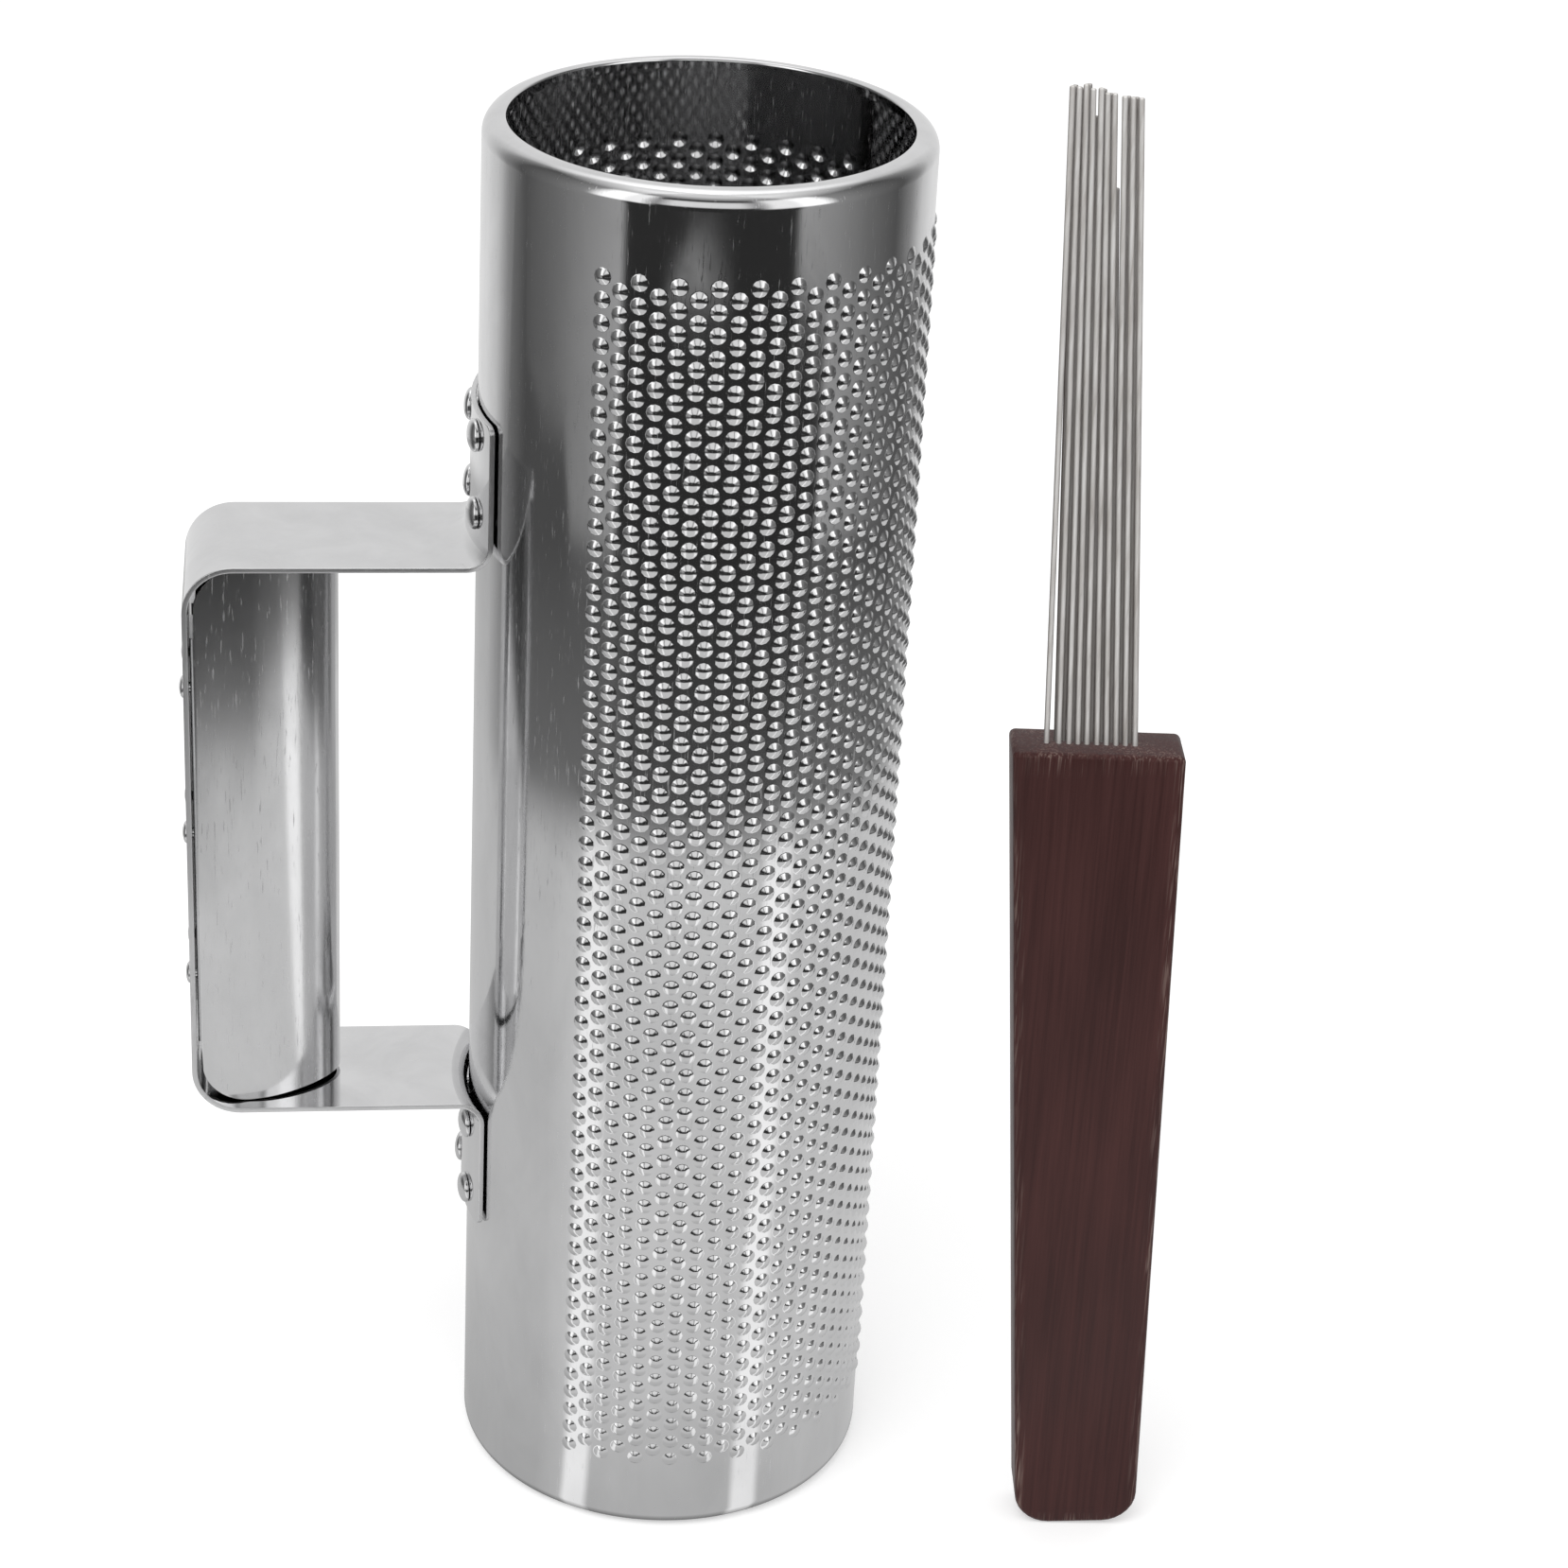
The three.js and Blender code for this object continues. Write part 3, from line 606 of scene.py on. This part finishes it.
def makeGrip():
    section = gripSection()
    bm = bmesh.new()
    bmesh.ops.create_grid(bm, x_segments=len(section) - 1, y_segments=grip["rows"], size=0.5)
    for vert in bm.verts:
        index = round((vert.co.x + 0.5) * (len(section) - 1))
        x, y = section[index]
        vert.co = (x, y, handleMiddle + 2 * vert.co.y * gripEnd(x))
    bmesh.ops.recalc_face_normals(bm, faces=bm.faces)
    handleToFrame(bm)
    piece = finishPiece(bm, "foldedGrip", gripSteel, ["grip_shell"], "guiro")
    middle = axis.x - strap["reach"] + grip["depth"] / 2
    outward = 0
    for face in piece.data.polygons:
        outward += face.normal.x * (face.center.x / mm - middle)
        outward += face.normal.y * (face.center.y / mm - axis.y)
    finishSheet(piece, grip["thickness"], -1 if outward > 0 else 1, grip["edge"])


footRivet = {"head": 3.6, "height": 1.9, "rim": 0.4, "shank": 1.9, "tail": 3, "tailHeight": 0.9,
             "spacing": 18, "fromArm": 9.1, "gap": 0.3}
webRivet = {"head": 2.5, "height": 1.1, "rim": 0.25, "shank": 1.3, "tail": 2, "tailHeight": 0.7,
            "spacing": 18, "pitch": 36, "gap": 0.3}
rivetFinish = {"edge": 0.08, "turn": 40, "steps": 32, "domeSteps": 10}


# A rivet along +Z, its head's flat at z = 0 and its tail at the far side of what it holds.
def rivetShape(rivet, grasp):
    head, height, rim = rivet["head"], rivet["height"], rivet["rim"]
    tail, end = rivet["tail"], -grasp - rivet["tailHeight"]
    quarter = arcPoints(0, 0, 1, 90, 0, rivetFinish["domeSteps"])
    dome = [(x * head, rim + y * (height - rim)) for x, y in quarter]
    profile = dome + [(head, rim * 0.35), (head - rim * 0.35, 0), (rivet["shank"], 0),
                      (rivet["shank"], -grasp), (tail - 0.2, -grasp), (tail, -grasp - 0.2),
                      (tail * 0.93, end + 0.25), (tail * 0.7, end + 0.06), (0, end)]
    return spinProfile(profile, rivetFinish["steps"])


def placeRivet(bm, turn, place, node):
    bmesh.ops.rotate(bm, cent=(0, 0, 0), matrix=Matrix.Rotation(math.pi / 2, 3, "Y"), verts=bm.verts)
    bmesh.ops.rotate(bm, cent=(0, 0, 0), matrix=Matrix.Rotation(turn, 3, "Z"), verts=bm.verts)
    bmesh.ops.translate(bm, vec=place, verts=bm.verts)
    handleToFrame(bm)
    words = node.split("_")
    name = words[0] + "".join(word.capitalize() for word in words[1:])
    piece = finishPiece(bm, name, rivetSteel, [node], "guiro")
    finishEdges(piece, rivetFinish["edge"], rivetFinish["turn"])


def makeFootRivets():
    footX = tube["radius"] + strap["footGap"] + strap["thickness"]
    curveX = footX - strap["footCurve"]
    across = footRivet["spacing"] / 2
    tilt = math.asin(across / strap["footCurve"])
    reach = strap["footCurve"] + footRivet["gap"] * 0.1
    sag = tube["radius"] - math.sqrt(tube["radius"] ** 2 - (across + footRivet["tail"]) ** 2)
    away = strap["footCurve"] - math.sqrt(strap["footCurve"] ** 2 - across ** 2)
    grasp = 2 * footRivet["gap"] + strap["thickness"] + tube["wall"] + sag - away
    upper = strap["highArm"] + footRivet["fromArm"]
    lower = strap["lowArm"] - footRivet["fromArm"]
    heights = {"upper": (upper, upper + footRivet["spacing"]),
               "lower": (lower - footRivet["spacing"], lower)}
    for foot, levels in heights.items():
        for level, height in enumerate(levels):
            for side in (-1, 1):
                node = f"{foot}_foot_rivet_{level * 2 + (2 if side > 0 else 1)}"
                place = (curveX + reach * math.cos(tilt), side * reach * math.sin(tilt), height)
                placeRivet(rivetShape(footRivet, grasp), side * tilt, place, node)


def makeWebRivets():
    grasp = webRivet["gap"] + strap["thickness"] + grip["thickness"]
    for level in (-1, 0, 1):
        for side in (-1, 1):
            node = f"grip_rivet_{(level + 1) * 2 + (2 if side > 0 else 1)}"
            place = (strap["reach"] + webRivet["gap"] * 0.1, side * webRivet["spacing"] / 2,
                     handleMiddle + level * webRivet["pitch"])
            placeRivet(rivetShape(webRivet, grasp), 0, place, node)


makeStrap()
makeGrip()
makeFootRivets()
makeWebRivets()
print("handle riveted")


# The scraper: a tapered wooden handle with two rows of wires standing in its top.
def woodBar():
    bm = bmesh.new()
    butt, top, slant = wood["buttWidth"] / 2, wood["topWidth"] / 2, wood["slant"] / 2
    high = wood["height"]
    corners = [bm.verts.new(place) for place in (
        (-butt, 0, 0), (butt, 0, 0), (top, 0, high - slant), (-top, 0, high + slant))]
    front = bm.faces.new(corners)
    for pair, radius in ((corners[:2], wood["buttCorner"]), (corners[2:], wood["topCorner"])):
        bmesh.ops.bevel(bm, geom=pair, offset=radius, segments=7, profile=0.5,
                        affect="VERTICES", material=-1)
    grown = bmesh.ops.extrude_face_region(bm, geom=bm.faces[:], use_keep_orig=True)["geom"]
    back = [item for item in grown if isinstance(item, bmesh.types.BMVert)]
    bmesh.ops.translate(bm, vec=(0, wood["thickness"], 0), verts=back)
    bmesh.ops.translate(bm, vec=(0, -wood["thickness"] / 2, 0), verts=bm.verts)
    rims = [edge for edge in bm.edges if abs(edge.verts[0].co.y - edge.verts[1].co.y) < 0.01]
    bmesh.ops.bevel(bm, geom=rims, offset=wood["edge"], segments=5, profile=0.5,
                    affect="EDGES", clamp_overlap=True, material=-1)
    bmesh.ops.recalc_face_normals(bm, faces=bm.faces)
    return bm


def makeWood():
    bm = woodBar()
    for height in range(wood["cutStep"], int(wood["height"]), wood["cutStep"]):
        bmesh.ops.bisect_plane(bm, geom=bm.verts[:] + bm.edges[:] + bm.faces[:], dist=0.0001,
                               plane_co=(0, 0, height), plane_no=(0, 0, 1))
    # Cuts along both sides keep the worn colour close to the edges.
    flare = (wood["topWidth"] - wood["buttWidth"]) / 2
    for side in (-1, 1):
        bmesh.ops.bisect_plane(bm, geom=bm.verts[:] + bm.edges[:] + bm.faces[:], dist=0.0001,
                               plane_co=(side * (wood["buttWidth"] / 2 - wood["worn"]), 0, 0),
                               plane_no=(wood["height"], 0, -side * flare))
    layer = bm.verts.layers.float.new("wear")
    for vert in bm.verts:
        share = vert.co.z / wood["height"]
        side = wood["buttWidth"] / 2 + (wood["topWidth"] - wood["buttWidth"]) / 2 * share
        inX = side - abs(vert.co.x)
        inY = wood["thickness"] / 2 - abs(vert.co.y)
        inZ = min(vert.co.z, wood["height"] - vert.co.z)
        close = sorted((inX, inY, inZ))[1]
        vert[layer] = min(1, max(0, 1 - close / wood["worn"]))
    turn = (Matrix.Rotation(math.radians(wood["yaw"]), 3, "Z")
            @ Matrix.Rotation(math.radians(wood["lean"]), 3, "Y"))
    bmesh.ops.rotate(bm, cent=(0, 0, 0), matrix=turn, verts=bm.verts)
    low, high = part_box("scraper_handle")
    shift = []
    for i in range(3):
        places = [vert.co[i] for vert in bm.verts]
        shift.append((low[i] + high[i]) / 2 / mm - (min(places) + max(places)) / 2)
    shift[2] = low.z / mm - min(vert.co.z for vert in bm.verts)
    bmesh.ops.translate(bm, vec=shift, verts=bm.verts)
    piece = finishPiece(bm, "taperedHandle", stainedWood, ["scraper_handle"], "scraper")
    piece.visible_glossy = False


wire = {"radius": 0.62, "sides": 12, "count": 19, "frontCount": 10, "pieces": 12, "bow": 0.12,
        "tipEdge": 0.3, "sideShade": 0.95, "backRowShade": 0.5, "rootShade": 1.15, "tipShade": 0.7,
        "grimePower": 2.4, "edge": 0.02, "edgeTurn": 60,
        "bendShares": (0.2, -0.5, 0.6, -0.3, 0.8, -0.4, 0.3, -1, -0.6, 0.5,
                       -0.4, 0.7, -0.8, 0.5, 0.3, -0.6, 1, 0.2, -0.5)}


def makeWires():
    for number in range(1, wire["count"] + 1):
        node = f"scraper_tine_{number:02d}"
        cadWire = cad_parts[node].data
        points = {tuple(round(c / mm, 3) for c in vert.co) for vert in cadWire.vertices}
        middle = sum(p[2] for p in points) / len(points)
        ends = []
        for part in ([p for p in points if p[2] < middle], [p for p in points if p[2] > middle]):
            ends.append(sum((Vector(p) for p in part), Vector()) / len(part))
        along = ends[1] - ends[0]
        bm = bmesh.new()
        bmesh.ops.create_cone(bm, cap_ends=True, segments=wire["sides"], radius1=wire["radius"],
                              radius2=wire["radius"], depth=along.length)
        caps = [edge for edge in bm.edges if abs(edge.verts[0].co.z - edge.verts[1].co.z) < 0.01]
        bmesh.ops.bevel(bm, geom=caps, offset=wire["tipEdge"], segments=2, profile=0.5,
                        affect="EDGES", material=-1)
        for step in range(1, wire["pieces"]):
            height = along.length * (step / wire["pieces"] - 0.5)
            bmesh.ops.bisect_plane(bm, geom=bm.verts[:] + bm.edges[:] + bm.faces[:], dist=0.0001,
                                   plane_co=(0, 0, height), plane_no=(0, 0, 1))
        bend = wire["bendShares"][number - 1] * wire["bow"]
        # Painted shade on each wire: darker on the sides where its neighbours shade it, darker on the
        # back row, and more so towards the root.
        layer = bm.verts.layers.float.new("grime")
        behind = wire["backRowShade"] if number > wire["frontCount"] else 0
        for vert in bm.verts:
            aside = abs(vert.co.x) / wire["radius"]
            share = vert.co.z / along.length + 0.5
            handled = wire["rootShade"] + (wire["tipShade"] - wire["rootShade"]) * share
            vert[layer] = min(1, handled * (behind + wire["sideShade"] * aside ** wire["grimePower"]))
            vert.co.x += bend * math.sin(math.pi * share) * share
        turn = Vector((0, 0, 1)).rotation_difference(along).to_matrix()
        bmesh.ops.rotate(bm, cent=(0, 0, 0), matrix=turn, verts=bm.verts)
        bmesh.ops.translate(bm, vec=(ends[0] + ends[1]) / 2, verts=bm.verts)
        piece = finishPiece(bm, f"springWire{number:02d}", wireSteel, [node], "scraper")
        piece.visible_glossy = False
        finishEdges(piece, wire["edge"], wire["edgeTurn"])


makeWood()
makeWires()
print("scraper made")


# The studio. Its lengths are in metres. Floor and world show white to the camera.
studio = {"floorSize": 8, "floorGrey": 0.8, "floorRough": 0.9, "floorLift": 0.42, "roomLight": 0.75}
softLight = {"place": (-0.5, -0.7, 1.5), "target": (0, 0, 0.15), "size": 1, "power": 9}

# What polished metal sees of the room in place of that. Bands are angles round the tube.
room = {"viewSide": 3.5, "darkGrey": 0.03, "narrowing": 0.024, "narrowTurn": 6,
        "sheetGrey": 0.66, "boxReflection": 0.44, "boxReflections": ((-54, -43), (46, 58)), "stripeSoft": 4,
        "footShadePatch": (-38, 40), "footShade": 0.04, "cardTurn": 5.7, "cardBand": (0.88, 0.95, 0.01),
        "card": 0.24, "lamp": 0.85, "lampBand": (-20, 14, 12), "lampRise": (10, 34, 8),
        "softBox": 1.1, "boxBands": ((-56, -36), (30, 56)), "boxSoft": 8, "boxRise": (3, 44, 9)}

# Each ramp runs from one value to a second, and gives a third to a fourth. The first group is for
# distances from the tube's axis, and the second for angles.
ramps = {"bore": (0.046, 0.05, 0.27, 1), "sheet": (0.37, 0.41, 1, 0), "pastSheet": (0.37, 0.41, 0, 1),
         "footShadePatch": (0.07, 0.1, 1, 0), "footShadow": (0.055, 0.11, -0.1, 0),
         "glimmer": (0.4, 0.6, 0.05, 0), "sideGlimmer": (0.4, 0.6, 0.09, 0.05),
         "wallStart": (0.6, 0.62, 0, 1), "widerNear": (0.83, 0.89, 1, 0),
         "cardTaper": (0.87, 0.97, 20, 2),
         "wider": (0, 30, 0, 18), "leftShade": (-75, -58, -0.1, 0), "sides": (28, 44, 0, 1),
         "leftWall": (-76, -70, 0.1, 0), "farLeftWall": (-104, -90, 0.06, 0),
         "post": (-106, -104, 0.2, 0), "postEnd": (-120, -116, 0, 1),
         "gapScreen": (104, 118, 0, 0.1), "gapEdge": (120, 140, 0, 0.3), "cardEdge": (-2, 4, 0, 1),
         "ceiling": (45, 70, 0, 0.78), "opening": (42, 46, 0, 1),
         "wall": (46, 85, 0.36, 0.14), "wallEnd": (85, 106, 0, -0.07),
         "screen": (108, 122, 0, 0.19), "screenMiddle": (122, 134, 0, 0.36),
         "screenEnd": (134, 150, 0, 0.17)}


def ramp(tree, value, name):
    return spread(tree, value, *ramps[name])


# Degrees round the tube from the viewer's side, positive to the viewer's right.
def degreesRound(tree, place):
    back = product(tree, place.outputs["Y"], -1)
    angle = combine(tree, "ARCTAN2", place.outputs["X"], back)
    return total(tree, product(tree, angle, 180 / math.pi), room["viewSide"])


# How light the walls of the room are: they start at the edge of the dark opening, fade to the side
# and end at a light screen.
def wallTone(tree, side):
    names = ("wall", "wallEnd", "screen", "screenMiddle", "screenEnd")
    tone = total(tree, *[ramp(tree, side, name) for name in names])
    return product(tree, ramp(tree, side, "opening"), tone)


# What polished metal sees of the floor, painted as a glow of light and shade: the lit sheet near the
# tube, then the dark room.
def mirroredFloor(tree):
    place = tree.nodes.new("ShaderNodeSeparateXYZ")
    centre = (axis.x * mm, axis.y * mm, 0)
    tree.links.new(patternPlace(tree, (1, 1, 1), centre), place.inputs["Vector"])
    across, along = place.outputs["X"], place.outputs["Y"]
    squared = total(tree, product(tree, across, across), product(tree, along, along))
    away = combine(tree, "SQRT", squared, 0)
    # A place near the tube's foot is mirrored wider than its own angle, and this widens it alike.
    narrowing = combine(tree, "DIVIDE", room["narrowing"], away)
    turned = total(tree, degreesRound(tree, place), product(tree, narrowing, room["narrowTurn"]))
    turned = combine(tree, "DIVIDE", turned, combine(tree, "SUBTRACT", 1, narrowing))
    # On the right the dark opening is wider close by than far off.
    wider = product(tree, ramp(tree, turned, "wider"), ramp(tree, away, "widerNear"))
    side = combine(tree, "SUBTRACT", combine(tree, "ABSOLUTE", turned, 0), wider)
    # Painted reflections of the two soft boxes: brighter stripes on the floor sheet.
    boxReflections = total(tree, *[band(tree, turned, *ends, room["stripeSoft"]) for ends in room["boxReflections"]])
    # Painted shade: a darker patch on the floor before the tube's foot.
    footShadePatch = product(tree, band(tree, turned, *room["footShadePatch"], room["stripeSoft"]),
                       ramp(tree, away, "footShadePatch"))
    sheet = total(tree, product(tree, boxReflections, room["boxReflection"]), room["sheetGrey"],
                  product(tree, footShadePatch, -room["footShade"]),
                  ramp(tree, away, "footShadow"), ramp(tree, turned, "leftShade"))
    # Painted shade: the floor inside the tube's bore is darker.
    lit = product(tree, ramp(tree, away, "bore"), ramp(tree, away, "sheet"), sheet)
    # On the left the wall begins farther off, and a dark post stands before the light screen.
    late = total(tree, *[ramp(tree, turned, name) for name in ("leftWall", "farLeftWall", "post")])
    late = product(tree, late, ramp(tree, turned, "postEnd"))
    far = ramp(tree, combine(tree, "SUBTRACT", away, late), "wallStart")
    # Past the sheet's end the light dies away, more slowly at the sides.
    glimmer = total(tree, ramp(tree, away, "glimmer"),
                    product(tree, ramp(tree, side, "sides"), ramp(tree, away, "sideGlimmer")))
    beyond = combine(tree, "SUBTRACT", ramp(tree, away, "pastSheet"), far)
    screen = total(tree, ramp(tree, side, "gapScreen"), ramp(tree, side, "gapEdge"))
    gap = product(tree, beyond, total(tree, glimmer, screen))
    # A pale card lies far off, narrower at its far end.
    aside = combine(tree, "ABSOLUTE", total(tree, turned, room["cardTurn"]), 0)
    narrow = combine(tree, "SUBTRACT", ramp(tree, away, "cardTaper"), aside)
    card = product(tree, ramp(tree, narrow, "cardEdge"), band(tree, away, *room["cardBand"]),
                   room["card"])
    return total(tree, lit, product(tree, far, wallTone(tree, side)), gap, card, room["darkGrey"])


def makeFloor():
    bm = bmesh.new()
    bmesh.ops.create_grid(bm, x_segments=16, y_segments=16, size=studio["floorSize"] / 2)
    mesh = asMesh(bm, "floor")
    floor = bpy.data.objects.new("floor", mesh)
    scene.collection.objects.link(floor)
    material, tree, shader = newMaterial("pale floor")
    mesh.materials.append(material)
    material.cycles.emission_sampling = "NONE"
    shader.inputs["Base Color"].default_value = (*[studio["floorGrey"]] * 3, 1)
    shader.inputs["Roughness"].default_value = studio["floorRough"]
    shader.inputs["Specular IOR Level"].default_value = 0
    rays = tree.nodes.new("ShaderNodeLightPath")
    tree.links.new(product(tree, rays.outputs["Is Camera Ray"], studio["floorLift"]),
                   shader.inputs["Emission Strength"])
    shader.inputs["Emission Color"].default_value = (1, 1, 1, 1)
    # For glossy rays the floor glows with this painted light and shade in place of being lit.
    seen = mirroredFloor(tree)
    glow = tree.nodes.new("ShaderNodeEmission")
    tree.links.new(seen, glow.inputs["Strength"])
    choice = tree.nodes.new("ShaderNodeMixShader")
    tree.links.new(rays.outputs["Is Glossy Ray"], choice.inputs["Fac"])
    tree.links.new(shader.outputs["BSDF"], choice.inputs[1])
    tree.links.new(glow.outputs["Emission"], choice.inputs[2])
    tree.links.new(choice.outputs["Shader"], tree.nodes["Material Output"].inputs["Surface"])


def makeWorld():
    world = bpy.data.worlds.new("studio")
    scene.world = world
    world.use_nodes = True
    world.cycles.sampling_method = "NONE"
    tree = world.node_tree
    ground = tree.nodes["Background"]
    ground.inputs["Color"].default_value = (1, 1, 1, 1)
    rays = tree.nodes.new("ShaderNodeLightPath")
    coords = tree.nodes.new("ShaderNodeTexCoord")
    place = tree.nodes.new("ShaderNodeSeparateXYZ")
    tree.links.new(coords.outputs["Generated"], place.inputs["Vector"])
    turned = degreesRound(tree, place)
    rise = product(tree, combine(tree, "ARCSINE", place.outputs["Z"], 0), 180 / math.pi)
    side = combine(tree, "ABSOLUTE", turned, 0)
    # The dark opening reaches up to the ceiling, and a pale round lamp hangs in it.
    lamp = product(tree, band(tree, turned, *room["lampBand"]), band(tree, rise, *room["lampRise"]),
                   room["lamp"])
    seen = total(tree, wallTone(tree, side), ramp(tree, rise, "ceiling"), lamp, room["darkGrey"])
    for ends in room["boxBands"]:
        box = product(tree, band(tree, turned, *ends, room["boxSoft"]),
                      band(tree, rise, *room["boxRise"]), room["softBox"])
        seen = total(tree, seen, box)
    glossy = product(tree, seen, rays.outputs["Is Glossy Ray"])
    plain = product(tree, rays.outputs["Is Diffuse Ray"], studio["roomLight"])
    strength = total(tree, glossy, plain, rays.outputs["Is Camera Ray"])
    tree.links.new(strength, ground.inputs["Strength"])


def makeLight():
    data = bpy.data.lights.new("softLight", "AREA")
    data.shape = "RECTANGLE"
    data.size = data.size_y = softLight["size"]
    data.energy = softLight["power"]
    light = bpy.data.objects.new("softLight", data)
    scene.collection.objects.link(light)
    place = Vector(softLight["place"])
    turn = (Vector(softLight["target"]) - place).to_track_quat("-Z", "Y")
    light.matrix_world = Matrix.Translation(place) @ turn.to_matrix().to_4x4()
    light.visible_glossy = False


makeFloor()
makeWorld()
makeLight()
scene.view_settings.view_transform = "Standard"
print("studio set")
